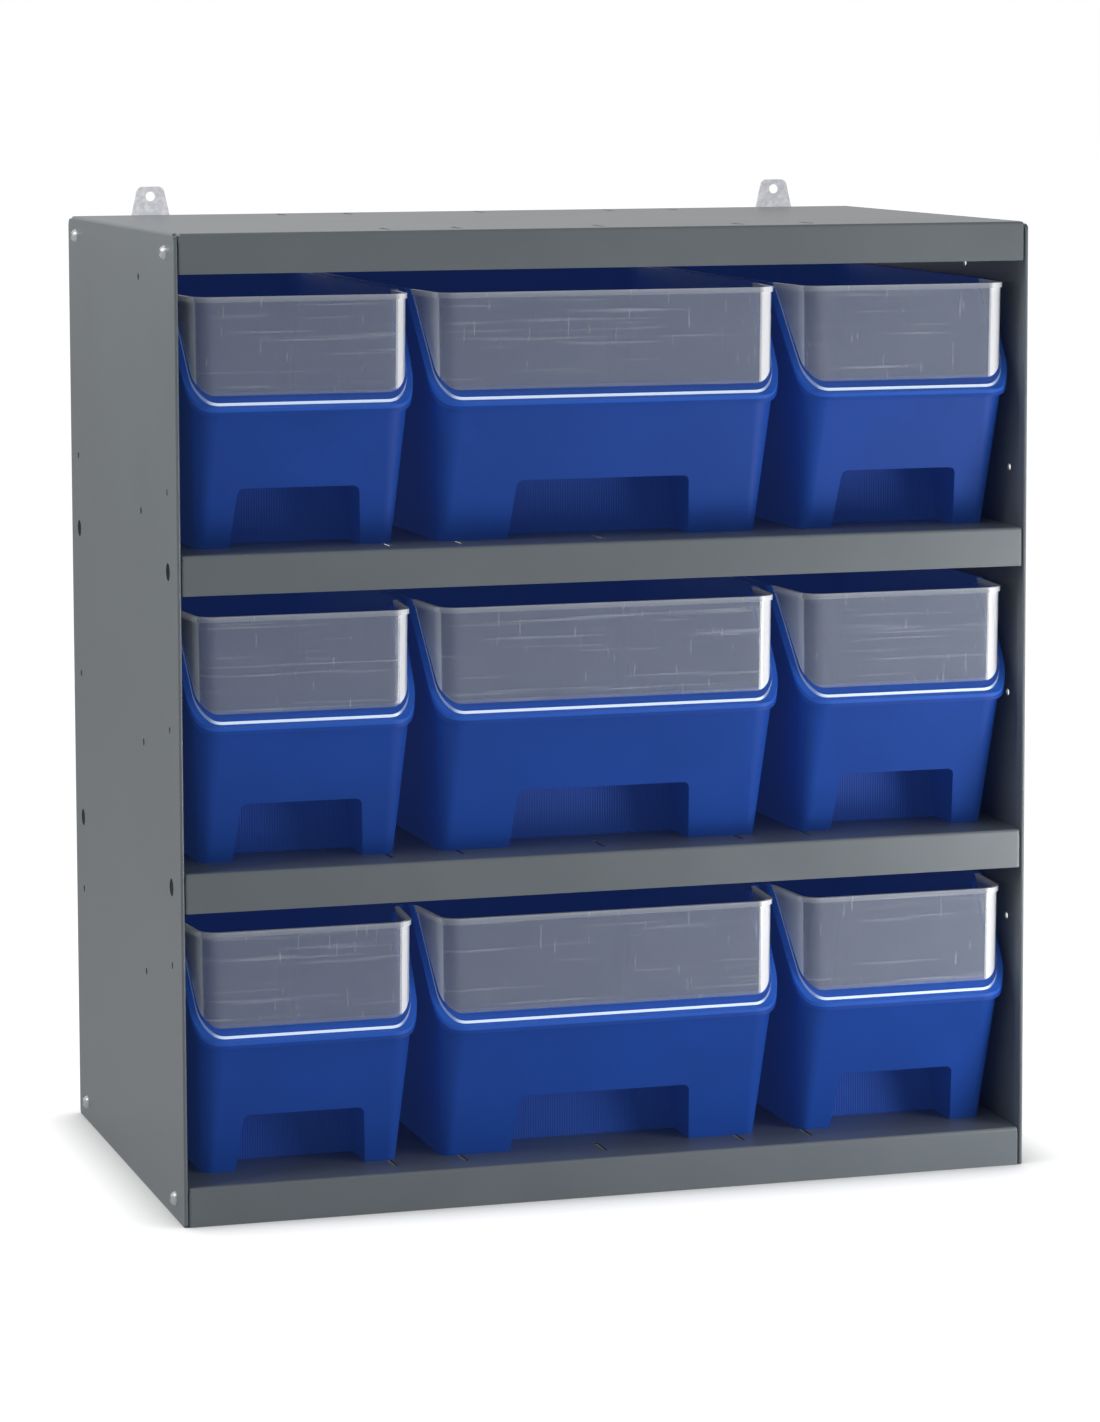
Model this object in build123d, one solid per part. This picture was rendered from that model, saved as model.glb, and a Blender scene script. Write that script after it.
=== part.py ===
from build123d import *
import os
from math import atan2, sqrt, tan

# Wall rack of folded sheet steel with three rows of plastic bins.
# Millimetres. X runs across the rack, Y runs back from the front, Z runs up.
# The origin is at the middle of the footprint, on the floor.

# Rack sheet metal
rack_depth = 390.0
shelf_rows = 3
lip_height = 29.0
sheet = 1.25
bend_radius = 1.0
hem_gap = 0.3
hem_depth = 10.0
panel_step = 1.8
panel_top_corner = 6.5
panel_foot_corner = 3.5
lip_end_clearance = 0.5
lip_return = 11.0
rear_lip_inset = 4.0
relief_radius = 1.0
relief_drop = 3.0

# Slots for dividers in each deck
slot_width = 3.7
slot_length = 27.0
slot_setback = 22.0
slot_fractions = (-1 / 4, -1 / 6, 0, 1 / 6, 1 / 4)

# Bolts, nuts and the holes in the side panels
bolt_radius = 3.0
bolt_hole_clearance = 0.3
bolt_setback = 32.0
bolt_rear_setback = 29.0
bolt_tip = 1.5
head_radius = 5.25
head_height = 3.3
head_flat_radius = 2.7
socket_across_flats = 4.0
socket_depth = 2.0
nut_across_flats = 10.0
nut_height = 6.0
nut_flange_radius = 7.1
nut_flange_height = 1.2
thread_clearance = 0.05
boss_radius = 6.2
boss_height = 1.0
boss_clearance = 0.3
spare_radius = 2.65
spare_rows = 4
middle_hole_setback = 124.0
middle_hole_drop = 36.0

# Hanging lugs and their rivets
lug_thickness = 2.0
lug_inset = 65.0
lug_root_width = 30.5
lug_tip_width = 20.5
lug_rise = 22.3
lug_foot_inset = 4.0
lug_corner = 5.0
lug_hole_radius = 3.75
lug_hole_rise = 14.6
rivet_radius = 2.0
rivet_spacing = 18.0
rivet_head_radius = 3.6
rivet_head_height = 1.2
rivet_tail_radius = 2.9
rivet_tail_height = 2.0
rivet_clearance = 0.05

# Bins
narrow_foot_width = 147.0
wide_foot_width = 246.0
bin_height = 183.5
bin_wall = 2.5
side_lean = 0.066
front_lean = 0.30
rear_lean = 0.04
foot_setback = 41.0
foot_corner = 8.0
corner_growth = 0.096
rim_setback = 4.5
rim_overhang = 2.25
rim_lean = 0.050
rim_depth = 5.0
rim_corner = 22.5
rim_rear_clearance = 5.0
ledge_height = 103.6
ledge_thickness = 2.5
slope_start = 8.3
slope_end = 75.0
slope_fillet = 12.0
ledge_reach = 2.5

# Finger notch in the foot of each bin
narrow_notch_width = 98.0
wide_notch_width = 140.0
notch_height = 44.3
notch_taper = 4.0
notch_depth = 36.0
notch_corner = 5.0

# Clear windows
window_wall = 2.0
window_front_setback = 4.0
window_side_setback = 1.5
window_flare = 0.08
window_lean = 0.010
window_corner = 14.0
window_drop = 0.5
flange_thickness = 2.0
flange_setback = 4.5
bead_height = 3.7
bead_reach = 1.2

# Gaps around the bins: across a shelf from left to right, and above
gap_left = 5.3
gap_left_middle = 5.1
gap_middle_right = 6.4
gap_right = 1.4
headroom = 16.5

hem_width = 2 * sheet + hem_gap
rim_half_extra = side_lean * bin_height + rim_overhang
narrow_width = narrow_foot_width + 2 * rim_half_extra
wide_width = wide_foot_width + 2 * rim_half_extra
bins_width = 2 * narrow_width + wide_width
gaps_width = gap_left + gap_left_middle + gap_middle_right + gap_right
rack_width = bins_width + gaps_width + 2 * hem_width
shelf_pitch = bin_height + headroom + lip_height
rack_height = shelf_rows * shelf_pitch + lip_height
fastener_drop = lip_height / 2
panel_height = rack_height - panel_step
half_width = rack_width / 2
front = -rack_depth / 2
rear = rack_depth / 2
inner_half = half_width - sheet
lip_half = half_width - hem_width - lip_end_clearance
deck_levels = [rack_height - row * shelf_pitch for row in range(shelf_rows + 1)]
bolt_rows = (front + bolt_setback, rear - bolt_rear_setback)
lug_centres = (-half_width + lug_inset, half_width - lug_inset)
slope_angle = atan2(bin_height - ledge_height, slope_end - slope_start)
far = 2 * (rack_width + rack_depth + rack_height)


def cylinder_along_x(radius, x_low, x_high, y, z):
    """Round bar from x_low to x_high."""
    bar = Cylinder(radius, x_high - x_low, rotation=(0, 90, 0))
    return Pos((x_low + x_high) / 2, y, z) * bar


def cylinder_along_y(radius, y_low, y_high, x, z):
    """Round bar from y_low to y_high."""
    bar = Cylinder(radius, y_high - y_low, rotation=(90, 0, 0))
    return Pos(x, (y_low + y_high) / 2, z) * bar


def box_between(low, high):
    """Box with two opposite corners."""
    size = [high[i] - low[i] for i in range(3)]
    middle = [(high[i] + low[i]) / 2 for i in range(3)]
    return Pos(*middle) * Box(*size)


def spare_hole_places():
    """Holes for a closer shelf spacing: (y, z) in two bolt columns and one middle column."""
    spare_pitch = (rack_height - lip_height) / spare_rows
    places = []
    for row in range(1, spare_rows):
        for y in bolt_rows:
            places.append((y, rack_height - fastener_drop - row * spare_pitch))
    for row in range(spare_rows):
        places.append((front + middle_hole_setback, rack_height - middle_hole_drop - row * spare_pitch))
    return places


def side_panel(side):
    """Flat sheet with its front edge folded back on itself; side is -1 for left, 1 for right."""
    fold = hem_width / 2
    outer_sheet = Pos(sheet / 2, (fold + rack_depth) / 2) * Rectangle(sheet, rack_depth - fold)
    hem_length = hem_depth - fold
    inner_sheet = Pos(hem_width - sheet / 2, fold + hem_length / 2) * Rectangle(sheet, hem_length)
    bend = Pos(fold, fold) * (Circle(fold) - Circle(fold - sheet))
    bend -= Pos(fold, fold + hem_width) * Rectangle(2 * hem_width, 2 * hem_width)
    panel = extrude(outer_sheet + inner_sheet + bend, panel_height)
    blank = box_between((-sheet, 0, 0), (2 * hem_width, rack_depth, panel_height))
    ends = blank.edges().filter_by(Axis.X).group_by(Axis.Z)
    blank = fillet(ends[-1], panel_top_corner)
    ends = blank.edges().filter_by(Axis.X).group_by(Axis.Z)
    blank = fillet(ends[0], panel_foot_corner)
    panel = Pos(0, front, 0) * (panel & blank)
    for y, z in spare_hole_places():
        panel -= cylinder_along_x(spare_radius, -sheet, 2 * sheet, y, z)
    for level in deck_levels:
        is_end = level in (deck_levels[0], deck_levels[-1])
        radius = bolt_radius + bolt_hole_clearance if is_end else boss_radius + boss_clearance
        for y in bolt_rows:
            panel -= cylinder_along_x(radius, -sheet, 2 * sheet, y, level - fastener_drop)
    panel = Pos(-half_width, 0, 0) * panel
    return panel if side < 0 else mirror(panel, Plane.YZ)


def tray_block(level, inset):
    """Outside of a shelf moved inwards by inset: a wide block, and a narrower one between the hems."""
    step = front + lip_return + inset
    back = rear - rear_lip_inset - inset
    top = level - inset
    foot = top - lip_height
    wide = box_between((inset - inner_half, step, foot), (inner_half - inset, back, top))
    narrow = box_between((inset - lip_half, front + inset, foot), (lip_half - inset, step + lip_return, top))
    block = wide + narrow
    edges = block.faces().sort_by(Axis.Z)[-1].edges()
    edges += block.edges().filter_by(Axis.Z).group_by(Axis.Y)[0]
    return fillet(edges, bend_radius + sheet - inset)


def shelf(level, is_bolted):
    """Tray folded down on four sides, with bosses or bolt holes in its sides.

    The sides step in at the front, so that the lip stands between the hems of the panels.
    """
    half = inner_half
    back = rear - rear_lip_inset
    lip_skin = (front - sheet, front + 2 * sheet)
    tray = tray_block(level, 0) - tray_block(level, sheet)
    for side in (-1, 1):
        x_low, x_high = sorted((side * lip_half, side * far))
        tray -= box_between((x_low, back - sheet - bend_radius, 0), (x_high, back + sheet, far))
        for relief_z in (level - relief_drop, level - lip_height):
            tray -= cylinder_along_y(relief_radius, *lip_skin, side * lip_half, relief_z)
    for fraction in slot_fractions:
        x = fraction * 2 * inner_half
        for y in (front + slot_setback + slot_length / 2, rear - slot_setback - slot_length / 2):
            tray -= Pos(x, y, level) * Box(slot_width, slot_length, 4 * sheet)
    for side in (-1, 1):
        for y in bolt_rows:
            z = level - fastener_drop
            x_face = side * half
            x_low, x_high = sorted((x_face + side * boss_height, x_face - side * 2 * sheet))
            if is_bolted:
                tray -= cylinder_along_x(bolt_radius + bolt_hole_clearance, x_low, x_high, y, z)
            else:
                tip = x_face + side * boss_height
                tray += cylinder_along_x(boss_radius, *sorted((x_face - side * sheet / 2, tip)), y, z)
                dish = sorted((x_face - side * 2 * sheet, tip - side * sheet))
                tray -= cylinder_along_x(boss_radius - sheet, *dish, y, z)
    return tray


def top_shelf():
    """The top shelf also has holes in its rear lip for the lugs' rivets."""
    tray = shelf(rack_height, True)
    back = rear - rear_lip_inset
    for x, z in rivet_places():
        tray -= cylinder_along_y(rivet_radius + rivet_clearance, back - 2 * sheet, back + sheet, x, z)
    return tray


def rivet_places():
    """X and z of each rivet, two to a lug."""
    return [
        (centre + side * rivet_spacing / 2, rack_height - fastener_drop)
        for centre in lug_centres
        for side in (-1, 1)
    ]


def bolt_places():
    """Side, y and z of each corner bolt."""
    return [
        (side, y, level - fastener_drop)
        for side in (-1, 1)
        for level in (deck_levels[0], deck_levels[-1])
        for y in bolt_rows
    ]


def corner_bolts():
    """Button-head bolts with a hexagon socket, their heads on the outside of the panels."""
    shank = 2 * sheet + nut_height + bolt_tip
    dome_drop = (head_radius**2 - head_flat_radius**2 - head_height**2) / (2 * head_height)
    dome_radius = sqrt(head_radius**2 + dome_drop**2)
    bolts = []
    for side, y, z in bolt_places():
        head = Cylinder(head_radius, head_height, align=(Align.CENTER, Align.CENTER, Align.MIN))
        head &= Pos(0, 0, -dome_drop) * Sphere(dome_radius)
        key = extrude(RegularPolygon(socket_across_flats / 2, 6, major_radius=False), head_height)
        head -= Pos(0, 0, head_height - socket_depth) * key
        bolt = head + Pos(0, 0, -shank / 2) * Cylinder(bolt_radius, shank)
        bolts.append(Pos(side * half_width, y, z) * Rot(0, side * 90, 0) * bolt)
    return Compound(children=bolts)


def corner_nuts():
    """Flange nuts on the inside of the shelves' side flanges."""
    nuts = []
    for side, y, z in bolt_places():
        hexagon = extrude(RegularPolygon(nut_across_flats / 2, 6, major_radius=False), nut_height)
        flange = Cylinder(nut_flange_radius, nut_flange_height, align=(Align.CENTER, Align.CENTER, Align.MIN))
        nut = hexagon + flange
        nut -= Cylinder(bolt_radius + thread_clearance, 3 * nut_height)
        seat = side * (inner_half - sheet)
        nuts.append(Pos(seat, y, z) * Rot(0, -side * 90, 0) * nut)
    return Compound(children=nuts)


def hanging_lug(x):
    """Flat plate behind the top shelf's rear lip; its tapered ear stands above the top."""
    foot = rack_height - lip_height + lug_foot_inset
    tip = rack_height + lug_rise
    outline = Polygon(
        (-lug_root_width / 2, foot),
        (lug_root_width / 2, foot),
        (lug_root_width / 2, rack_height),
        (lug_tip_width / 2, tip),
        (-lug_tip_width / 2, tip),
        (-lug_root_width / 2, rack_height),
        align=None,
    )
    outline = fillet(outline.vertices().group_by(Axis.Y)[-1], lug_corner)
    outline -= Pos(0, rack_height + lug_hole_rise) * Circle(lug_hole_radius)
    rivet_hole = Circle(rivet_radius + rivet_clearance)
    for side in (-1, 1):
        outline -= Pos(side * rivet_spacing / 2, rack_height - fastener_drop) * rivet_hole
    plate = Rot(90, 0, 0) * extrude(outline, -lug_thickness)
    return Pos(x, rear - rear_lip_inset, 0) * plate


def lug_rivets():
    """Blind rivets through the lugs and the rear lip."""
    outside = rear - rear_lip_inset + lug_thickness
    inside = rear - rear_lip_inset - sheet
    rivets = []
    for x, z in rivet_places():
        head = cylinder_along_y(rivet_head_radius, outside, outside + rivet_head_height, x, z)
        head = fillet(head.edges().group_by(Axis.Y)[-1], rivet_head_height / 2)
        tail = cylinder_along_y(rivet_tail_radius, inside - rivet_tail_height, inside, x, z)
        rivets.append(head + cylinder_along_y(rivet_radius, inside, outside, x, z) + tail)
    return Compound(children=rivets)


# Bins and windows are built with X from the bin's middle, Y from the rack's front, Z from the shelf.


def tapered_block(low, high):
    """Loft between two rounded rectangles, each given as (half width, front, back, height, corner radius)."""
    sections = []
    for half, y_front, y_back, z, corner in (low, high):
        outline = RectangleRounded(2 * half, y_back - y_front, corner)
        sections.append(Pos(0, (y_front + y_back) / 2, z) * outline)
    return loft(sections)


def body_block(foot_half, inset, z_low, z_high):
    """The bin's leaning walls, moved inwards by inset; their corners grow rounder with height."""
    back = rack_depth - rim_rear_clearance - rim_overhang - rear_lean * bin_height
    ends = []
    for z in (z_low, z_high):
        half = foot_half + side_lean * z - inset
        corner = foot_corner + corner_growth * z - inset
        ends.append((half, foot_setback - front_lean * z + inset, back + rear_lean * z - inset, z, corner))
    return tapered_block(*ends)


def rim_half(foot_half, z):
    """Half the width over the rim, which stands more upright than the walls."""
    return foot_half + side_lean * bin_height + rim_overhang - rim_lean * (bin_height - z)


def rim_block(foot_half, inset, z_low, z_high):
    """Outside of the rim, moved inwards by inset."""
    back = rack_depth - rim_rear_clearance
    ends = []
    for z in (z_low, z_high):
        half = rim_half(foot_half, z) - inset
        ends.append((half, rim_setback + inset, back - inset, z, rim_corner - inset))
    return tapered_block(*ends)


def window_block(foot_half, inset, z_low, z_high):
    """Outside of the clear pane, moved inwards by inset; its sides flare towards the back."""
    half_at_ledge = rim_half(foot_half, ledge_height) - flange_setback - window_side_setback
    sections = []
    for z in (z_low, z_high):
        growth = window_lean * (z - ledge_height)
        y_front = rim_setback + flange_setback + window_front_setback - growth + inset
        front_half = half_at_ledge + growth - inset
        back_half = front_half + window_flare * (rack_depth - y_front)
        front_corners = ((-front_half, y_front), (front_half, y_front))
        back_corners = ((back_half, rack_depth), (-back_half, rack_depth))
        outline = Polygon(*front_corners, *back_corners, align=None)
        outline = fillet(outline.vertices().group_by(Axis.Y)[0], window_corner - inset)
        sections.append(Pos(0, 0, z) * outline)
    return loft(sections)


def below_edge(shift):
    """Everything below the cut-away's edge: level at the front, then a slope up the sides.

    The edge is moved square to itself by shift.
    """
    low = (slope_start - shift * tan(slope_angle / 2), ledge_height + shift)
    high = (slope_end - shift * tan(slope_angle / 2), bin_height + shift)
    outline = Polygon((-far, -far), (far, -far), (far, high[1]), high, low, (-far, low[1]), align=None)
    corner = outline.vertices().sort_by_distance((*low, 0))[0]
    outline = fillet(corner, slope_fillet - shift)
    return Plane.YZ * extrude(outline, far, both=True)


def notch_prism(notch_half, grow):
    """Finger notch: a round-shouldered opening in the front, carried straight back and open below."""
    top = notch_height + grow
    outline = Polygon(
        (-notch_half - grow, -far),
        (notch_half + grow, -far),
        (notch_half + grow, 0),
        (notch_half - notch_taper + grow, top),
        (-notch_half + notch_taper - grow, top),
        (-notch_half - grow, 0),
        align=None,
    )
    outline = fillet(outline.vertices().group_by(Axis.Y)[-1], notch_corner + grow)
    depth = foot_setback + notch_depth + grow
    return Pos(0, depth, 0) * Rot(90, 0, 0) * extrude(outline, far)


def plastic_bin(foot_width, notch_width):
    """Moulded bin: leaning walls, a rim, a ledge for the window, and a finger notch."""
    foot_half = foot_width / 2
    notch_half = notch_width / 2
    outside = body_block(foot_half, 0, 0, bin_height)
    hollow = body_block(foot_half, bin_wall, bin_wall, bin_height + bin_wall)
    rim = rim_block(foot_half, 0, 0, bin_height)
    walls = outside & below_edge(0)
    walls = walls + (rim & (below_edge(0) - below_edge(-rim_depth)))
    walls -= hollow
    cutaway = box_between((-far, -far, 0), (far, slope_end, bin_height - window_drop - bead_height))
    ledge = rim & (below_edge(0) - below_edge(-ledge_thickness)) & cutaway
    walls += ledge - window_block(foot_half, window_wall + ledge_reach, 0, bin_height)
    walls += outside & notch_prism(notch_half, bin_wall)
    return walls - notch_prism(notch_half, 0)


def window(foot_width):
    """Clear pane with short side wings, a bead along its top and a flange that lies on the bin's ledge."""
    foot_half = foot_width / 2
    top = bin_height - window_drop
    inside = window_block(foot_half, window_wall, 0, bin_height)
    flange = rim_block(foot_half, flange_setback, 0, top) & below_edge(flange_thickness)
    bead = window_block(foot_half, -bead_reach, top - bead_height, top)
    pane = window_block(foot_half, 0, 0, top) + flange + bead
    return pane - inside - below_edge(0)


def bin_centres():
    """Middle of each bin across the rack, from left to right."""
    left = -half_width + hem_width + gap_left + narrow_width / 2
    middle = left + narrow_width / 2 + gap_left_middle + wide_width / 2
    right = middle + wide_width / 2 + gap_middle_right + narrow_width / 2
    return {"left": left, "middle": middle, "right": right}


def build_rack():
    """Every piece of the rack by its name."""
    pieces = {
        "side_panel_left": side_panel(-1),
        "side_panel_right": side_panel(1),
        "shelf_top": top_shelf(),
        "shelf_upper": shelf(deck_levels[1], False),
        "shelf_lower": shelf(deck_levels[2], False),
        "shelf_bottom": shelf(deck_levels[3], True),
        "corner_bolts": corner_bolts(),
        "corner_nuts": corner_nuts(),
        "lug_rivets": lug_rivets(),
    }
    for name, x in zip(("left", "right"), lug_centres):
        pieces[f"hanging_lug_{name}"] = hanging_lug(x)
    narrow = (plastic_bin(narrow_foot_width, narrow_notch_width), window(narrow_foot_width))
    wide = (plastic_bin(wide_foot_width, wide_notch_width), window(wide_foot_width))
    for row, level in zip(("top", "middle", "bottom"), deck_levels[1:]):
        for column, x in bin_centres().items():
            body, pane = wide if column == "middle" else narrow
            pieces[f"bin_{row}_{column}"] = Pos(x, front, level) * body
            pieces[f"window_{row}_{column}"] = Pos(x, front, level) * pane
    return pieces


os.makedirs("parts", exist_ok=True)
for node, piece in build_rack().items():
    export_step(piece, f"parts/{node}.step")
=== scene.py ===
import math

import bpy
import numpy as np
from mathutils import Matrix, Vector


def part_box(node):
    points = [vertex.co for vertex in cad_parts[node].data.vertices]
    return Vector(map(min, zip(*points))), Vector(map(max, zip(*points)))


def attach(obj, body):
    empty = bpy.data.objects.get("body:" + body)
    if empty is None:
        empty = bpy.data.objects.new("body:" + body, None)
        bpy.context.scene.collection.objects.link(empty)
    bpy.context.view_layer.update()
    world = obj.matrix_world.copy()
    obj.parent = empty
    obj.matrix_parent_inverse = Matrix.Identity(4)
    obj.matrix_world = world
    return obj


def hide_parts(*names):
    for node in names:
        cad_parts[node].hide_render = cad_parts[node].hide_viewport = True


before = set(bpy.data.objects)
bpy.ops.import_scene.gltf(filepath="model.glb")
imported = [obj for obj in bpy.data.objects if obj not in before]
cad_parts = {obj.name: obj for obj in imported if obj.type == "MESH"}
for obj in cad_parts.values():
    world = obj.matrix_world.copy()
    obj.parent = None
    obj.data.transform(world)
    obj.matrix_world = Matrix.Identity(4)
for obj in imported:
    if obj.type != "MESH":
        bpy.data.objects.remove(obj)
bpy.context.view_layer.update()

# Side panels and shelves: mild steel sheet, folded, then powder coated grey and bolted together.
# The coat is satin, with the faint orange peel of baked powder and a slow change of tone. Its grit is
# drawn coarser than it is, so that it shows.

metre_mm = 1000.0
coat_hex = "#7c8489"
coat_dark_hex = "#767e83"
coat_tone_mm = 90.0
coat_grit_mm = 1.0
coat_grit_share = 0.3
coat_ior = 1.5
coat_specular = 0.5
coat_roughness = (0.26, 0.34)
tone_spread = (0.35, 0.65)
orange_peel_mm = 2.2
orange_peel_depth_mm = 0.2
orange_peel_strength = 0.10


def linear(hex_colour):
    """sRGB hex to linear red, green, blue, 1: c/12.92 below 0.04045, else ((c + 0.055)/1.055)^2.4."""
    values = [int(hex_colour[i : i + 2], 16) / 255.0 for i in (1, 3, 5)]
    values = [v / 12.92 if v <= 0.04045 else ((v + 0.055) / 1.055) ** 2.4 for v in values]
    return (*values, 1.0)


def new_material(name):
    """A material with no nodes yet, and its node tree."""
    material = bpy.data.materials.new(name)
    material.use_nodes = True
    material.node_tree.nodes.clear()
    return material, material.node_tree


def add(tree, kind, settings=None, links=None):
    """A node of that kind. settings are properties or input values; links give an input its source."""
    node = tree.nodes.new(kind)
    for name, value in (settings or {}).items():
        if isinstance(name, str) and name in node.bl_rna.properties:
            setattr(node, name, value)
        else:
            node.inputs[name].default_value = value
    for name, socket in (links or {}).items():
        tree.links.new(socket, node.inputs[name])
    return node


def coat(node, material):
    """Gives a CAD node one material in all its slots."""
    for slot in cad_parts[node].material_slots:
        slot.link = "OBJECT"
        slot.material = material


def powder_coat(name):
    """Satin powder coat: slow change of tone with fine grit, orange peel as bumps, some play of gloss."""
    material, tree = new_material(name)
    place = add(tree, "ShaderNodeTexCoord").outputs["Object"]
    noise = "ShaderNodeTexNoise"
    slow = add(tree, noise, {"Scale": metre_mm / coat_tone_mm, "Detail": 3.0}, {"Vector": place})
    grit = add(tree, noise, {"Scale": metre_mm / coat_grit_mm, "Detail": 1.0}, {"Vector": place})
    tone = add(
        tree,
        "ShaderNodeMix",
        {"data_type": "FLOAT", "Factor": coat_grit_share},
        {"A": slow.outputs["Fac"], "B": grit.outputs["Fac"]},
    )
    colour = add(tree, "ShaderNodeValToRGB", {}, {"Fac": tone.outputs["Result"]})
    colour.color_ramp.elements[0].position = tone_spread[0]
    colour.color_ramp.elements[0].color = linear(coat_dark_hex)
    colour.color_ramp.elements[1].position = tone_spread[1]
    colour.color_ramp.elements[1].color = linear(coat_hex)
    peel = add(tree, noise, {"Scale": metre_mm / orange_peel_mm, "Detail": 2.0}, {"Vector": place})
    bump = add(
        tree,
        "ShaderNodeBump",
        {"Strength": orange_peel_strength, "Distance": orange_peel_depth_mm / metre_mm},
        {"Height": peel.outputs["Fac"]},
    )
    low, high = coat_roughness
    gloss = add(tree, "ShaderNodeMapRange", {"To Min": low, "To Max": high}, {"Value": slow.outputs["Fac"]})
    coat_shader = add(
        tree,
        "ShaderNodeBsdfPrincipled",
        {"IOR": coat_ior, "Specular IOR Level": coat_specular},
        {
            "Base Color": colour.outputs["Color"],
            "Roughness": gloss.outputs["Result"],
            "Normal": bump.outputs["Normal"],
        },
    )
    add(tree, "ShaderNodeOutputMaterial", {}, {"Surface": coat_shader.outputs["BSDF"]})
    return material


panel_coat = powder_coat("powder_coated_steel_panel")
shelf_coat = powder_coat("powder_coated_steel_shelf")
for side in ("left", "right"):
    coat(f"side_panel_{side}", panel_coat)
for level in ("top", "upper", "lower", "bottom"):
    coat(f"shelf_{level}", shelf_coat)

# The tips of the middle shelves' bosses, pressed out of the same sheet into the panels' large holes.
# The coat on them is painted dark and dull, as painted shade in the holes.

boss_tip_mm = 324.2
hole_shade_hex = "#12181a"
hole_shade_specular = 0.02

tree = shelf_coat.node_tree
coat_shader = tree.nodes["Principled BSDF"]
coat_colour = coat_shader.inputs["Base Color"].links[0].from_socket
place = add(tree, "ShaderNodeTexCoord").outputs["Object"]
axes = add(tree, "ShaderNodeSeparateXYZ", {}, {"Vector": place})
side_reach = add(tree, "ShaderNodeMath", {"operation": "ABSOLUTE"}, {0: axes.outputs["X"]})
is_tip = add(
    tree,
    "ShaderNodeMath",
    {"operation": "GREATER_THAN", 1: boss_tip_mm / metre_mm},
    {0: side_reach.outputs["Value"]},
)
tip_shade_colour = add(
    tree,
    "ShaderNodeMix",
    {"data_type": "RGBA", 7: linear(hole_shade_hex)},
    {0: is_tip.outputs["Value"], 6: coat_colour},
)
tip_shade_specular = add(
    tree,
    "ShaderNodeMapRange",
    {"To Min": coat_specular, "To Max": hole_shade_specular},
    {"Value": is_tip.outputs["Value"]},
)
tree.links.new(tip_shade_colour.outputs[2], coat_shader.inputs["Base Color"])
tree.links.new(tip_shade_specular.outputs["Result"], coat_shader.inputs["Specular IOR Level"])

# Corner bolts, their nuts and the lugs' rivets: small steel parts with bright zinc plating.
# The plating is a little dull from handling and mirrors the room softly.

zinc_hex = "#f2f3f5"
zinc_dull_hex = "#d8dade"
zinc_mottle_mm = 0.8
zinc_metallic = 0.5
zinc_roughness = (0.28, 0.44)

bright_zinc, tree = new_material("bright_zinc_plating")
place = add(tree, "ShaderNodeTexCoord").outputs["Object"]
mottle = add(
    tree,
    "ShaderNodeTexNoise",
    {"Scale": metre_mm / zinc_mottle_mm, "Detail": 2.0},
    {"Vector": place},
)
colour = add(tree, "ShaderNodeValToRGB", {}, {"Fac": mottle.outputs["Fac"]})
colour.color_ramp.elements[0].color = linear(zinc_dull_hex)
colour.color_ramp.elements[1].color = linear(zinc_hex)
low, high = zinc_roughness
dull = add(tree, "ShaderNodeMapRange", {"To Min": low, "To Max": high}, {"Value": mottle.outputs["Fac"]})
zinc_shader = add(
    tree,
    "ShaderNodeBsdfPrincipled",
    {"Metallic": zinc_metallic},
    {"Base Color": colour.outputs["Color"], "Roughness": dull.outputs["Result"]},
)
add(tree, "ShaderNodeOutputMaterial", {}, {"Surface": zinc_shader.outputs["BSDF"]})
for node in ("corner_bolts", "corner_nuts", "lug_rivets"):
    coat(node, bright_zinc)

# Hanging lugs: flat plates of hot-dip galvanised steel, each with the crystal pattern of its zinc.
# They are riveted to the back of the top shelf and carry the rack on two screws. The zinc throws back
# the bright ceiling of a studio, which this plain room lacks, so a share of it is painted on as a glow.

spangle_hex = "#fbfbfd"
spangle_dark_hex = "#dddde6"
spangle_mm = 2.6
spangle_grain_mm = 0.7
spangle_grain_share = 0.45
spangle_spread = (0.2, 0.8)
spangle_metallic = 0.15
spangle_roughness = (0.45, 0.62)
ceiling_glow_share = 0.36

galvanised, tree = new_material("galvanised_spangled_steel")
place = add(tree, "ShaderNodeTexCoord").outputs["Object"]
crystals = add(tree, "ShaderNodeTexVoronoi", {"Scale": metre_mm / spangle_mm}, {"Vector": place})
crystal = add(tree, "ShaderNodeSeparateColor", {}, {"Color": crystals.outputs["Color"]})
grain = add(
    tree,
    "ShaderNodeTexNoise",
    {"Scale": metre_mm / spangle_grain_mm, "Detail": 3.0},
    {"Vector": place},
)
tone = add(
    tree,
    "ShaderNodeMix",
    {"data_type": "FLOAT", "Factor": spangle_grain_share},
    {"A": crystal.outputs["Red"], "B": grain.outputs["Fac"]},
)
colour = add(tree, "ShaderNodeValToRGB", {}, {"Fac": tone.outputs["Result"]})
colour.color_ramp.elements[0].position = spangle_spread[0]
colour.color_ramp.elements[0].color = linear(spangle_dark_hex)
colour.color_ramp.elements[1].position = spangle_spread[1]
colour.color_ramp.elements[1].color = linear(spangle_hex)
low, high = spangle_roughness
dull = add(tree, "ShaderNodeMapRange", {"To Min": low, "To Max": high}, {"Value": tone.outputs["Result"]})
lug_shader = add(
    tree,
    "ShaderNodeBsdfPrincipled",
    {"Metallic": spangle_metallic, "Emission Strength": ceiling_glow_share},
    {
        "Base Color": colour.outputs["Color"],
        "Roughness": dull.outputs["Result"],
        "Emission Color": colour.outputs["Color"],
    },
)
add(tree, "ShaderNodeOutputMaterial", {}, {"Surface": lug_shader.outputs["BSDF"]})
for side in ("left", "right"):
    coat(f"hanging_lug_{side}", galvanised)

# Bins: injection-moulded blue polypropylene with a satin skin, whose grain is drawn coarse enough to
# show. A faint painted glow in the blue stands in for light soaking through the thin walls, so that no
# part goes black. The wall behind the finger notch has fine upright ribs.

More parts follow.
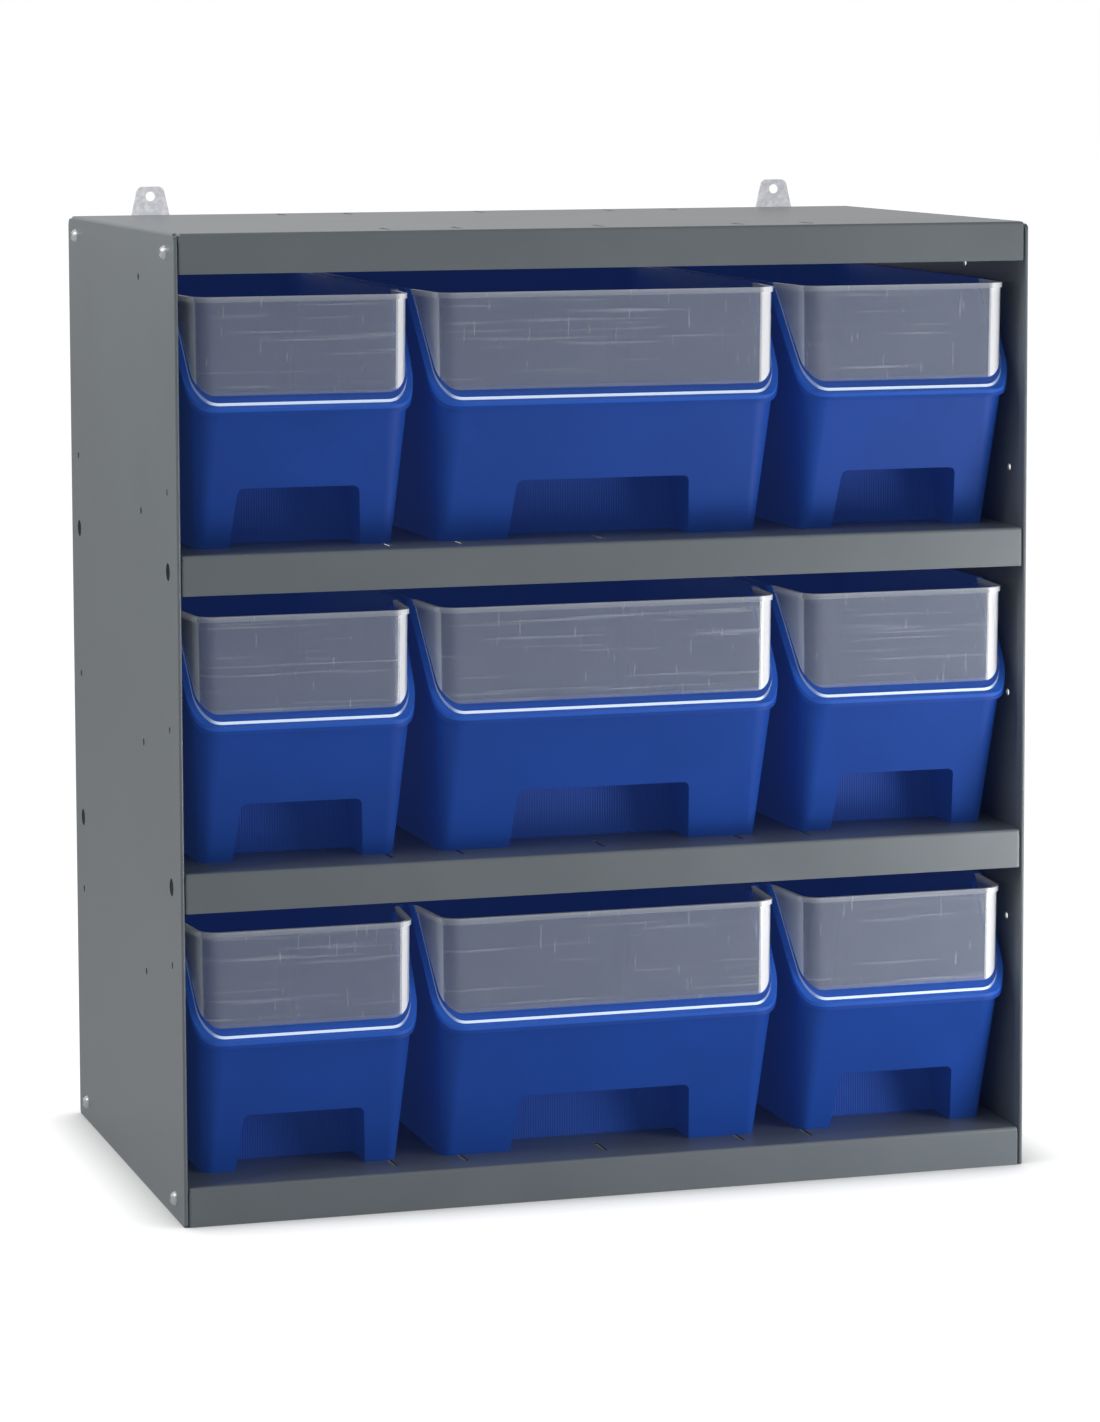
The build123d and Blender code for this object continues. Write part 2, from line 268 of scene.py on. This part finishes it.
blue_hex = "#1647a5"
blue_deep_hex = "#14439b"
# Painted highlight: the lighter blue of the rolled rim.
rim_highlight_hex = "#2a64cf"
# Painted glow: a faint even light in the blue, so that its shaded parts never go black.
soak_glow_hex = "#0e1b3b"
soak_glow_strength = 1.0
flow_mm = 70.0
blue_ior = 1.49
blue_specular = 0.2
blue_roughness = (0.48, 0.56)
skin_mm = 0.9
skin_depth_mm = 0.1
skin_strength = 0.08
rib_mm = 1.9
rib_depth_mm = 0.3
rib_strength = 0.35
rib_wall_y_mm = -118.0
rib_wall_slack_mm = 0.6
rack_front = -195.0
first_deck = 29.0
deck_pitch = 229.0
ledge_level = 103.6
ledge_front = 8.3
slope_rise = 79.9 / 66.7
edge_rounding = 8.0
rim_reach = (2.4, 3.8)

blue_plastic, tree = new_material("moulded_blue_polypropylene")
place = add(tree, "ShaderNodeTexCoord").outputs["Object"]
flow = add(tree, "ShaderNodeTexNoise", {"Scale": metre_mm / flow_mm, "Detail": 3.0}, {"Vector": place})
colour = add(tree, "ShaderNodeValToRGB", {}, {"Fac": flow.outputs["Fac"]})
colour.color_ramp.elements[0].position = tone_spread[0]
colour.color_ramp.elements[0].color = linear(blue_deep_hex)
colour.color_ramp.elements[1].position = tone_spread[1]
colour.color_ramp.elements[1].color = linear(blue_hex)
low, high = blue_roughness
gloss = add(tree, "ShaderNodeMapRange", {"To Min": low, "To Max": high}, {"Value": flow.outputs["Fac"]})
axes = add(tree, "ShaderNodeSeparateXYZ", {}, {"Vector": place})
turns = add(
    tree,
    "ShaderNodeMath",
    {"operation": "MULTIPLY", 1: 2.0 * math.pi * metre_mm / rib_mm},
    {0: axes.outputs["X"]},
)
wave = add(tree, "ShaderNodeMath", {"operation": "SINE"}, {0: turns.outputs["Value"]})
on_wall = add(
    tree,
    "ShaderNodeMath",
    {"operation": "COMPARE", 1: rib_wall_y_mm / metre_mm, 2: rib_wall_slack_mm / metre_mm},
    {0: axes.outputs["Y"]},
)
ribs = add(
    tree, "ShaderNodeMath", {"operation": "MULTIPLY"}, {0: wave.outputs["Value"], 1: on_wall.outputs["Value"]}
)
rib_bump = add(
    tree,
    "ShaderNodeBump",
    {"Strength": rib_strength, "Distance": rib_depth_mm / metre_mm},
    {"Height": ribs.outputs["Value"]},
)

# The rolled rim is painted lighter, a painted highlight for the light it catches more than the walls:
# it is all that lies less than its reach below the cut-away's edge, whose height is the greater of the
# ledge's and of the slope's at that depth. All of these lengths are in millimetres.
millimetres = add(
    tree, "ShaderNodeVectorMath", {"operation": "SCALE", "Scale": metre_mm}, {"Vector": place}
)
axes = add(tree, "ShaderNodeSeparateXYZ", {}, {"Vector": millimetres.outputs["Vector"]})
above_deck = add(tree, "ShaderNodeMath", {"operation": "SUBTRACT", 1: first_deck}, {0: axes.outputs["Z"]})
above_deck = add(
    tree, "ShaderNodeMath", {"operation": "MODULO", 1: deck_pitch}, {0: above_deck.outputs["Value"]}
)
up_slope = add(
    tree,
    "ShaderNodeMath",
    {"operation": "MULTIPLY_ADD", 1: slope_rise, 2: ledge_level - slope_rise * (ledge_front + rack_front)},
    {0: axes.outputs["Y"]},
)
edge = add(
    tree,
    "ShaderNodeMath",
    {"operation": "SMOOTH_MAX", 1: ledge_level, 2: edge_rounding},
    {0: up_slope.outputs["Value"]},
)
reach = add(
    tree,
    "ShaderNodeMapRange",
    {
        "From Min": ledge_level,
        "From Max": ledge_level + edge_rounding,
        "To Min": rim_reach[0],
        "To Max": rim_reach[1],
    },
    {"Value": up_slope.outputs["Value"]},
)
below_edge = add(
    tree,
    "ShaderNodeMath",
    {"operation": "SUBTRACT"},
    {0: edge.outputs["Value"], 1: above_deck.outputs["Value"]},
)
is_rim = add(
    tree,
    "ShaderNodeMath",
    {"operation": "LESS_THAN"},
    {0: below_edge.outputs["Value"], 1: reach.outputs["Result"]},
)
colour = add(
    tree,
    "ShaderNodeMix",
    {"data_type": "RGBA", 7: linear(rim_highlight_hex)},
    {0: is_rim.outputs["Value"], 6: colour.outputs["Color"]},
)
skin = add(tree, "ShaderNodeTexNoise", {"Scale": metre_mm / skin_mm, "Detail": 2.0}, {"Vector": place})
skin_bump = add(
    tree,
    "ShaderNodeBump",
    {"Strength": skin_strength, "Distance": skin_depth_mm / metre_mm},
    {"Height": skin.outputs["Fac"], "Normal": rib_bump.outputs["Normal"]},
)
bin_shader = add(
    tree,
    "ShaderNodeBsdfPrincipled",
    {
        "IOR": blue_ior,
        "Specular IOR Level": blue_specular,
        "Emission Color": linear(soak_glow_hex),
        "Emission Strength": soak_glow_strength,
    },
    {
        "Base Color": colour.outputs[2],
        "Roughness": gloss.outputs["Result"],
        "Normal": skin_bump.outputs["Normal"],
    },
)
add(tree, "ShaderNodeOutputMaterial", {}, {"Surface": bin_shader.outputs["BSDF"]})
for row in ("top", "middle", "bottom"):
    for column in ("left", "middle", "right"):
        coat(f"bin_{row}_{column}", blue_plastic)

# Windows: moulded in clear styrene and pressed into the cut-away of each bin. A flange lies on the
# bin's ledge, the pane stands up from it, and a bead stiffens the top.
# Lengths are in millimetres, from the bin's middle, the rack's front and the shelf.

foot_halves = {"left": 73.5, "middle": 123.0, "right": 73.5}
window_top = 183.0
window_wall = 2.0
ledge_round = 12.0
pane_front = 13.0
pane_beyond_foot = 4.4
pane_corner = 14.0
pane_lean = 0.010
pane_flare = 0.08
flange_front = 9.0
flange_beyond_foot = 5.9
flange_lean = 0.050
flange_corner = 18.0
flange_thickness = 2.0
bead_height = 3.7
bead_reach = 1.2
haze_step = 0.5
glint_step = 0.6
lit_share = (0.06, 0.94)
wing_steps, corner_steps, front_steps = 40, 22, 14


def edge_line(y):
    """Height and tilt of the cut-away's edge at depth y: level, then an arc of radius r, then straight.

    On the arc, sin(tilt) = (y - y0)/r and z = z0 + r(1 - cos(tilt)); its tilt ends at the slope's own.
    """
    slope = math.atan(slope_rise)
    start = ledge_front - ledge_round * math.tan(slope / 2)
    tilt = np.arcsin(np.clip((y - start) / ledge_round, 0.0, math.sin(slope)))
    arc_end = start + ledge_round * math.sin(slope)
    height = ledge_level + ledge_round * (1 - np.cos(tilt)) + np.maximum(y - arc_end, 0.0) * slope_rise
    return height, tilt


def plan_curve(half, front, corner, flare):
    """Plan curve from the left wing's end, round both front corners, to the right wing's end.

    A corner is the quarter circle centre + r(cos a, sin a); along a wing, x = half + flare (y - front).
    """
    wing_end = ledge_front + (window_top - ledge_level) / slope_rise
    wing = np.linspace(wing_end, front + corner, wing_steps, endpoint=False)
    angle = np.linspace(0.0, math.pi / 2, corner_steps)
    across = np.linspace(half - corner, 0.0, front_steps + 1)[1:]
    x = np.concatenate([np.full(wing_steps, float(half)), half - corner + corner * np.cos(angle), across])
    y = np.concatenate([wing, front + corner - corner * np.sin(angle), np.full(front_steps, float(front))])
    x = x + flare * (y - front)
    return np.concatenate([-x, x[-2::-1]]), np.concatenate([y, y[-2::-1]])


def window_rows(foot_half):
    """Curves round the window's wall, from the flange's edge over pane, bead and top down the inner face.

    A curve at height z lies at foot + t (top - foot), where t = (z - ledge)/(top - ledge).
    """

    def pane(inset, height):
        """Plan curve of the pane moved inwards by inset, leaning out with height; no height is its foot."""
        curves = []
        for grown in (0.0, pane_lean * (window_top - ledge_level)):
            half = foot_half + pane_beyond_foot + grown - inset
            curves.append(plan_curve(half, pane_front - grown + inset, pane_corner - inset, pane_flare))
        (x_foot, y_foot), (x_top, y_top) = curves
        if height is None:
            return x_foot, y_foot
        t = (height - ledge_level) / (window_top - ledge_level)
        return x_foot + t * (x_top - x_foot), y_foot + t * (y_top - y_foot)

    x_edge, y_edge = plan_curve(foot_half + flange_beyond_foot, flange_front, flange_corner, 0.0)
    edge_low, edge_tilt = edge_line(y_edge)
    x_edge = x_edge + np.sign(x_edge) * flange_lean * (edge_low - ledge_level)
    edge_low = np.minimum(edge_low, window_top)
    edge_high = np.minimum(edge_low + flange_thickness / np.cos(edge_tilt), window_top)
    rows = [(x_edge, y_edge, edge_low)]
    rows += [(x_edge, y_edge, edge_low + share * (edge_high - edge_low)) for share in lit_share]
    rows.append((x_edge, y_edge, edge_high))

    x_foot, y_foot = pane(0.0, None)
    foot_low, foot_tilt = edge_line(y_foot)
    foot = np.minimum(foot_low + flange_thickness / np.cos(foot_tilt), window_top)
    bead_low = np.maximum(foot, window_top - bead_height)
    hazy = np.minimum(foot + haze_step, bead_low)
    glint = np.maximum(hazy, bead_low - glint_step)
    top = np.full_like(foot, window_top)
    rows += [(*pane(0.0, height), height) for height in (foot, hazy, glint, bead_low)]
    rows += [(*pane(-bead_reach, height), height) for height in (bead_low, top)]
    inner_low = np.minimum(edge_line(pane(window_wall, None)[1])[0], window_top)
    rows += [(*pane(window_wall, height), height) for height in (top, glint, hazy, inner_low)]
    return np.stack([np.stack(row, axis=-1) for row in rows], axis=1)


def ring_faces(count, around):
    """Quads of a grid that closes round its section, row by row, and one face at each of its two ends."""
    i, j = np.meshgrid(np.arange(count - 1), np.arange(around), indexing="ij")
    k = (j + 1) % around
    quads = np.stack([i * around + j, i * around + k, (i + 1) * around + k, (i + 1) * around + j], axis=-1)
    ends = [list(range(around - 1, -1, -1)), [(count - 1) * around + n for n in range(around)]]
    return quads.reshape(-1, 4).tolist() + ends


def new_mesh(name, places, faces, material, smooth=True):
    """Object at the origin from an array of places and a list of faces."""
    mesh = bpy.data.meshes.new(name)
    mesh.from_pydata(places.tolist(), [], faces)
    mesh.polygons.foreach_set("use_smooth", [smooth] * len(mesh.polygons))
    mesh.materials.append(material)
    piece = bpy.data.objects.new(name, mesh)
    bpy.context.scene.collection.objects.link(piece)
    return piece


# Clear moulded styrene: a faint bluish haze with drawn streaks and a few slanting scratches. The foot
# is clear, so that the blue ledge shows through it. The right corner gets a painted highlight with a
# painted glow, for the key light that it gathers as a rod does.

haze_hex = "#dee7f4"
haze_dark_hex = "#d2dbe9"
haze_share = 0.17
cloud_mm = 25.0
# Painted highlight and painted glow of the right corner, and the painted glints on the bead.
corner_highlight_hex = "#f4f5f8"
corner_highlight_share = 0.64
corner_highlight_glow = 0.16
pane_ior = 1.57
sheen_ior = 1.45
pane_roughness = (0.08, 0.16)
flange_mirror = 0.2
mark_depth_mm = 125.0
streak_mm = 3.0
streak_length_mm = 120.0
streak_range = (0.60, 0.78)
streak_share = 0.17
scratch_mm = 1.2
scratch_length_mm = 26.0
scratch_lean = 24.0
scratch_range = (0.72, 0.82)
scratch_share = 0.25

clear_plastic, tree = new_material("clear_moulded_styrene")
place = add(tree, "ShaderNodeTexCoord").outputs["Object"]
hazy = add(tree, "ShaderNodeAttribute", {"attribute_name": "hazy"}).outputs["Fac"]
corner_highlight = add(tree, "ShaderNodeAttribute", {"attribute_name": "corner_highlight"}).outputs["Fac"]
cloud = add(tree, "ShaderNodeTexNoise", {"Scale": metre_mm / cloud_mm, "Detail": 4.0}, {"Vector": place})
tint = add(tree, "ShaderNodeValToRGB", {}, {"Fac": cloud.outputs["Fac"]})
tint.color_ramp.elements[0].color = linear(haze_dark_hex)
tint.color_ramp.elements[1].color = linear(haze_hex)
highlight_tint = add(
    tree, "ShaderNodeMix", {"data_type": "RGBA", 7: linear(corner_highlight_hex)}, {0: corner_highlight, 6: tint.outputs["Color"]}
)
drawn = add(tree, "ShaderNodeMapping", {}, {"Vector": place})
drawn.inputs["Scale"].default_value = (
    metre_mm / streak_length_mm,
    metre_mm / mark_depth_mm,
    metre_mm / streak_mm,
)
streak = add(tree, "ShaderNodeTexNoise", {"Scale": 1.0, "Detail": 2.0}, {"Vector": drawn.outputs["Vector"]})
streak = add(
    tree,
    "ShaderNodeMapRange",
    {"From Min": streak_range[0], "From Max": streak_range[1], "To Max": streak_share},
    {"Value": streak.outputs["Fac"]},
)
slanted = add(tree, "ShaderNodeMapping", {}, {"Vector": place})
slanted.inputs["Rotation"].default_value = (0.0, math.radians(scratch_lean), 0.0)
slanted.inputs["Scale"].default_value = (
    metre_mm / scratch_mm,
    metre_mm / mark_depth_mm,
    metre_mm / scratch_length_mm,
)
scratch = add(
    tree, "ShaderNodeTexNoise", {"Scale": 1.0, "Detail": 1.0}, {"Vector": slanted.outputs["Vector"]}
)
scratch = add(
    tree,
    "ShaderNodeMapRange",
    {"From Min": scratch_range[0], "From Max": scratch_range[1], "To Max": scratch_share},
    {"Value": scratch.outputs["Fac"]},
)
marks = add(
    tree, "ShaderNodeMath", {"operation": "ADD"}, {0: streak.outputs["Result"], 1: scratch.outputs["Result"]}
)
marks = add(tree, "ShaderNodeMath", {"operation": "ADD", 1: haze_share}, {0: marks.outputs["Value"]})
veil = add(tree, "ShaderNodeMath", {"operation": "MULTIPLY"}, {0: marks.outputs["Value"], 1: hazy})
highlight_veil = add(tree, "ShaderNodeMath", {"operation": "MULTIPLY", 1: corner_highlight_share}, {0: corner_highlight})
veil = add(
    tree, "ShaderNodeMath", {"operation": "ADD"}, {0: veil.outputs["Value"], 1: highlight_veil.outputs["Value"]}
)
mirror_share = add(tree, "ShaderNodeMapRange", {"To Min": flange_mirror}, {"Value": hazy})
fresnel = add(tree, "ShaderNodeFresnel", {"IOR": sheen_ior})
mirror = add(
    tree,
    "ShaderNodeMath",
    {"operation": "MULTIPLY"},
    {0: fresnel.outputs["Fac"], 1: mirror_share.outputs["Result"]},
)
share = add(
    tree,
    "ShaderNodeMath",
    {"operation": "ADD", "use_clamp": True},
    {0: veil.outputs["Value"], 1: mirror.outputs["Value"]},
)
low, high = pane_roughness
gloss = add(tree, "ShaderNodeMapRange", {"To Min": low, "To Max": high}, {"Value": cloud.outputs["Fac"]})
glow = add(tree, "ShaderNodeMath", {"operation": "MULTIPLY", 1: corner_highlight_glow}, {0: corner_highlight})
window_shader = add(
    tree,
    "ShaderNodeBsdfPrincipled",
    {"IOR": pane_ior, "Emission Color": linear(corner_highlight_hex)},
    {
        "Base Color": highlight_tint.outputs[2],
        "Roughness": gloss.outputs["Result"],
        "Alpha": share.outputs["Value"],
        "Emission Strength": glow.outputs["Value"],
    },
)
add(tree, "ShaderNodeOutputMaterial", {}, {"Surface": window_shader.outputs["BSDF"]})

# Cut edge of the flange, sawn to size after moulding. It glows white as painted light, for the light
# that the clear pane catches and lets out here, and the painted glow weakens up the slopes.

edge_hex = "#eaf6fd"
edge_sawn_hex = "#d3e6f4"
# Painted glow of the cut edge.
edge_glow = 0.75
edge_roughness = 0.25
saw_mm = 2.0

cut_edge, tree = new_material("painted_glow_cut_edge")
place = add(tree, "ShaderNodeTexCoord").outputs["Object"]
bright = add(tree, "ShaderNodeAttribute", {"attribute_name": "bright"}).outputs["Fac"]
sawn = add(tree, "ShaderNodeTexNoise", {"Scale": metre_mm / saw_mm, "Detail": 2.0}, {"Vector": place})
colour = add(tree, "ShaderNodeValToRGB", {}, {"Fac": sawn.outputs["Fac"]})
colour.color_ramp.elements[0].color = linear(edge_sawn_hex)
colour.color_ramp.elements[1].color = linear(edge_hex)
glow = add(tree, "ShaderNodeMath", {"operation": "MULTIPLY", 1: edge_glow}, {0: bright})
edge_shader = add(
    tree,
    "ShaderNodeBsdfPrincipled",
    {"IOR": pane_ior, "Roughness": edge_roughness},
    {
        "Base Color": colour.outputs["Color"],
        "Alpha": bright,
        "Emission Color": colour.outputs["Color"],
        "Emission Strength": glow.outputs["Value"],
    },
)
add(tree, "ShaderNodeOutputMaterial", {}, {"Surface": edge_shader.outputs["BSDF"]})

# Each window is built for its bin's width and set into the bin's place on its shelf. Its right corner,
# a line at its left corner and its bead carry painted highlights; fewer steps of the right corner are
# painted on the left, where the corner turns away from the key light.

# Rows 0 to 3 of the section are the flange's edge, 4 the pane's foot, 5 and 6 the pane, 7 and 8 the
# bead's foot, 9 and 10 its top, and 11 to 13 go down the inner face. The edge's painted glow keeps its
# full strength up to half the slope's tilt, and weakens from there.
first_lit_row = 1
hazy_rows = (5, 6, 7, 8, 9, 10, 11, 12)
bead_foot_rows = (7, 8)
bead_foot_glint = 0.2
bead_top_rows = (9, 10)
bead_top_glint = 0.3
left_corner_glint = 0.25
highlight_arcs = {"left": (7, 13), "middle": (4, 13), "right": (3, 13)}
slope_brightness = 0.35
sharp_angle = 35.0

for row in ("top", "middle", "bottom"):
    for column, foot_half in foot_halves.items():
        low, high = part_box(f"bin_{row}_{column}")
        origin = np.array([metre_mm * (low[0] + high[0]) / 2, rack_front, metre_mm * low[2]])
        grid = window_rows(foot_half)
        count, around, _ = grid.shape
        places = (grid.reshape(-1, 3) + origin) / metre_mm
        window = new_mesh(f"clear_window_{row}_{column}", places, ring_faces(count, around), clear_plastic)
        window.data.materials.append(cut_edge)
        is_edge = np.zeros(len(window.data.polygons), dtype=np.int32)
        is_edge[first_lit_row : (count - 1) * around : around] = 1
        window.data.polygons.foreach_set("material_index", is_edge)
        window.data.set_sharp_from_angle(angle=math.radians(sharp_angle))

        hazy_grid = np.zeros((count, around))
        hazy_grid[:, hazy_rows] = 1.0
        highlight_grid = np.zeros((count, around))
        right_corner = count - wing_steps - corner_steps
        highlight_grid[wing_steps] = left_corner_glint
        highlight_grid[:, bead_foot_rows] = bead_foot_glint
        highlight_grid[:, bead_top_rows] = bead_top_glint
        highlight_start, highlight_end = highlight_arcs[column]
        highlight_grid[right_corner + highlight_start : right_corner + highlight_end] = 1.0
        highlight_grid *= hazy_grid
        tilt = edge_line(grid[:, 0, 1])[1] / math.atan(slope_rise)
        bright_grid = np.repeat(1.0 - (1.0 - slope_brightness) * np.clip(2.0 * tilt - 1.0, 0.0, 1.0), around)
        for name, values in (("hazy", hazy_grid), ("corner_highlight", highlight_grid), ("bright", bright_grid)):
            attribute = window.data.attributes.new(name, "FLOAT", "POINT")
            attribute.data.foreach_set("value", values.astype(np.float32).ravel())

        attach(window, f"unit_{row}_{column}")
        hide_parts(f"window_{row}_{column}")

# Floor: matt white paper sweep, its lengths in metres. Its own light takes it to plain white away from
# the rack, and fades where the rack shuts out the sky, so that only the soft contact shadow shows.

floor_half = 30.0
sweep_white = "#e2e2e2"
sweep_fibre = "#dedede"
sweep_glow = 0.75
sweep_roughness = 0.9
sweep_specular = 0.1
shade_samples = 8
shade_reach = 0.05
shade_depth = 0.3
fibre_mm = 3.3

sweep_paper, tree = new_material("matt_sweep_paper")
place = add(tree, "ShaderNodeTexCoord").outputs["Object"]
fibre = add(tree, "ShaderNodeTexNoise", {"Scale": metre_mm / fibre_mm, "Detail": 2.0}, {"Vector": place})
colour = add(tree, "ShaderNodeValToRGB", {}, {"Fac": fibre.outputs["Fac"]})
colour.color_ramp.elements[0].color = linear(sweep_fibre)
colour.color_ramp.elements[1].color = linear(sweep_white)
seen = add(tree, "ShaderNodeLightPath")
open_sky = add(tree, "ShaderNodeAmbientOcclusion", {"samples": shade_samples, "Distance": shade_reach})
open_share = add(
    tree, "ShaderNodeMapRange", {"From Min": shade_depth, "From Max": 1.0}, {"Value": open_sky.outputs["AO"]}
)
glow = add(
    tree,
    "ShaderNodeMath",
    {"operation": "MULTIPLY"},
    {0: open_share.outputs["Result"], 1: seen.outputs["Is Camera Ray"]},
)
glow = add(tree, "ShaderNodeMath", {"operation": "MULTIPLY", 1: sweep_glow}, {0: glow.outputs["Value"]})
paper_shader = add(
    tree,
    "ShaderNodeBsdfPrincipled",
    {
        "Roughness": sweep_roughness,
        "Specular IOR Level": sweep_specular,
        "Emission Color": (1.0, 1.0, 1.0, 1.0),
    },
    {"Base Color": colour.outputs["Color"], "Emission Strength": glow.outputs["Value"]},
)
add(tree, "ShaderNodeOutputMaterial", {}, {"Surface": paper_shader.outputs["BSDF"]})
corners = np.array([(-1, -1, 0), (1, -1, 0), (1, 1, 0), (-1, 1, 0)], float) * floor_half
floor = new_mesh("studio_floor", corners, [(0, 1, 2, 3)], sweep_paper, smooth=False)

# Light: a white backdrop behind the rack, a darker room in front, and soft boxes at places in metres.
# The key stands low and near on the right, so that the fronts brighten from left to right, and a small
# one near the floor lifts the bottom row.

room_seen = 1.0
room_front = 0.28
room_behind = 0.65
room_change = (0.1, 0.6)
rack_middle = (0.0, 0.0, 0.36)
softboxes = {
    "key_right": ((1.0, -1.0, 0.12), 0.6, 8.6),
    "low_right": ((0.85, -0.75, 0.05), 0.3, 2.3),
    "fill_left": ((-1.5, -0.3, 1.7), 0.8, 11.0),
}

world = bpy.data.worlds.new("white_room")
world.use_nodes = True
tree = world.node_tree
tree.nodes.clear()
direction = add(tree, "ShaderNodeTexCoord").outputs["Generated"]
axes = add(tree, "ShaderNodeSeparateXYZ", {}, {"Vector": direction})
backdrop = add(
    tree,
    "ShaderNodeMapRange",
    {
        "interpolation_type": "SMOOTHSTEP",
        "From Min": room_change[0],
        "From Max": room_change[1],
        "To Min": room_front,
        "To Max": room_behind,
    },
    {"Value": axes.outputs["Y"]},
)
path = add(tree, "ShaderNodeLightPath")
level = add(
    tree,
    "ShaderNodeMix",
    {"data_type": "FLOAT", "B": room_seen},
    {"Factor": path.outputs["Is Camera Ray"], "A": backdrop.outputs["Result"]},
)
room = add(
    tree, "ShaderNodeBackground", {"Color": (1.0, 1.0, 1.0, 1.0)}, {"Strength": level.outputs["Result"]}
)
add(tree, "ShaderNodeOutputWorld", {}, {"Surface": room.outputs["Background"]})
bpy.context.scene.world = world

for name, (position, size, power) in softboxes.items():
    light = bpy.data.lights.new(name, "AREA")
    light.shape = "SQUARE"
    light.size = size
    light.energy = power
    lamp = bpy.data.objects.new(name, light)
    lamp.location = position
    aim = np.subtract(rack_middle, position)
    lamp.rotation_euler = (
        math.pi / 2 - math.atan2(-aim[2], math.hypot(aim[0], aim[1])),
        0.0,
        math.atan2(-aim[0], aim[1]),
    )
    lamp.visible_camera = False
    bpy.context.scene.collection.objects.link(lamp)

# Camera: a long lens at a place in metres, a little left of the middle and above. The picture is 1422
# high and 1100 wide.

picture_height = 1422
sensor_mm = 36.0
focal_pixels = 4683.0
camera_place = (-1.0239, -3.4382, 0.8426)
camera_turn = 16.76
camera_tilt = 5.78
camera_roll = 0.19
camera_shift = -0.13

camera_data = bpy.data.cameras.new("studio_camera")
camera_data.sensor_width = sensor_mm
camera_data.lens = focal_pixels / picture_height * sensor_mm
camera_data.shift_y = camera_shift
camera = bpy.data.objects.new("studio_camera", camera_data)
camera.location = camera_place
camera.rotation_euler = (
    math.radians(90.0 - camera_tilt),
    math.radians(camera_roll),
    math.radians(-camera_turn),
)
bpy.context.scene.collection.objects.link(camera)
bpy.context.scene.camera = camera
bpy.context.scene.view_settings.view_transform = "Standard"
